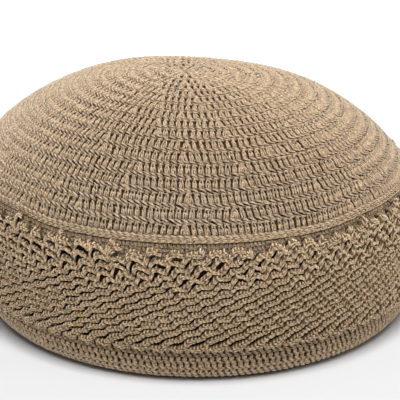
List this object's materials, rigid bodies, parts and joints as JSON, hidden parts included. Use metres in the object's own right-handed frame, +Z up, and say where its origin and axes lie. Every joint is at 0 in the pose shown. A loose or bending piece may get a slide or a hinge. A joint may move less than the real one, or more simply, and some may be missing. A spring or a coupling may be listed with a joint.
{
  "type": "crochet pouf",
  "caption": "Round filled floor pouf in crocheted cord, with a domed crown, an edging cord and a band of slanted wavy ruffles round its side.",
  "frame": {"origin": "on the floor, under the middle of the ruffle band", "axes": "+Z up, -Y towards the front of the picture"},
  "size_m": [0.5002, 0.4979, 0.2572],
  "materials": {
    "crochet_yarn": "matt khaki cotton cord, crocheted in rounds",
    "edging_yarn": "matt khaki cotton cord, two strands laid side by side",
    "ruffle_yarn": "matt khaki cotton cord, crocheted ruffles"
  },
  "bodies": {
    "root": {"crochet_body": "crochet_yarn", "edging_cord": "edging_yarn", "ruffle_band": "ruffle_yarn"}
  },
  "joints": []
}
